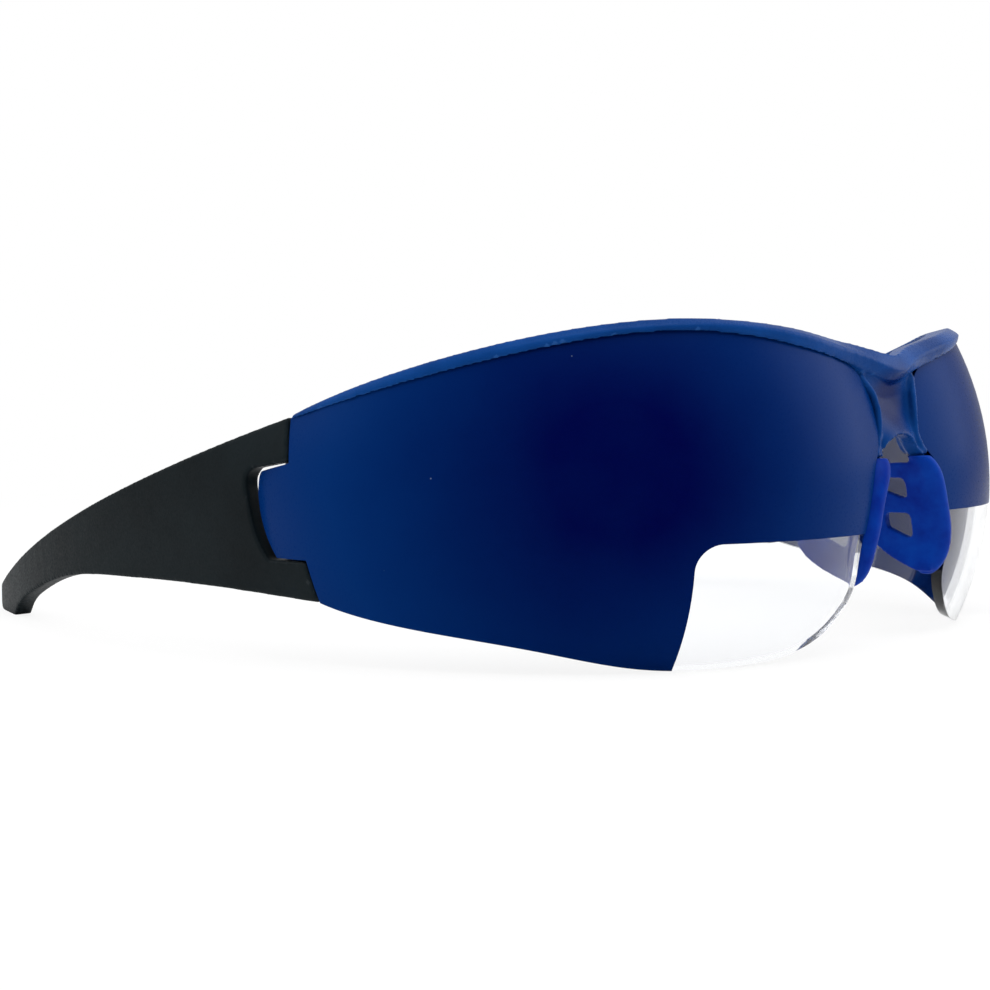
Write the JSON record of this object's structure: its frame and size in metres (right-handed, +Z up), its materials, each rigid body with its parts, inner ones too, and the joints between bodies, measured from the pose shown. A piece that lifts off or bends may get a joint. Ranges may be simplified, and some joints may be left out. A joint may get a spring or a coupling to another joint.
{
  "type": "view limiting training glasses",
  "caption": "Wrap-around training glasses with blue-masked lenses, a clear window low beside the nose, nose pads and folding temples.",
  "frame": {"origin": "on the floor that the open glasses rest on, under the middle of their overall box", "axes": "+Z up, +Y from the lenses back along the temples, so that the wearer looks along -Y; +X to the wearer's left"},
  "size_m": [0.1464, 0.1664, 0.0508],
  "materials": {
    "frame_blue": "satin blue moulded plastic",
    "lens_clear": "clear polycarbonate",
    "mask_blue": "opaque deep blue satin coat",
    "pad_rubber": "soft blue rubber",
    "temple_black": "matte black moulded plastic with a fine grain",
    "pin_steel": "plain steel pin"
  },
  "bodies": {
    "front": {"front_frame": "frame_blue", "lens_right": "lens_clear", "lens_left": "lens_clear", "mask_right": "mask_blue", "mask_left": "mask_blue", "nose_pad_right": "pad_rubber", "nose_pad_left": "pad_rubber", "hinge_pin_right": "pin_steel", "hinge_pin_left": "pin_steel"},
    "right_temple": {"temple_right": "temple_black"},
    "left_temple": {"temple_left": "temple_black"}
  },
  "joints": [
    {"name": "right_temple_fold", "type": "hinge", "parent": "front", "child": "right_temple", "pos_m": [-0.06521, -0.01326, 0.0231], "axis": [0, 0, -1], "range_deg": [0, 92]},
    {"name": "left_temple_fold", "type": "hinge", "parent": "front", "child": "left_temple", "pos_m": [0.06521, -0.01326, 0.0231], "axis": [0, 0, 1], "range_deg": [0, 77]}
  ]
}
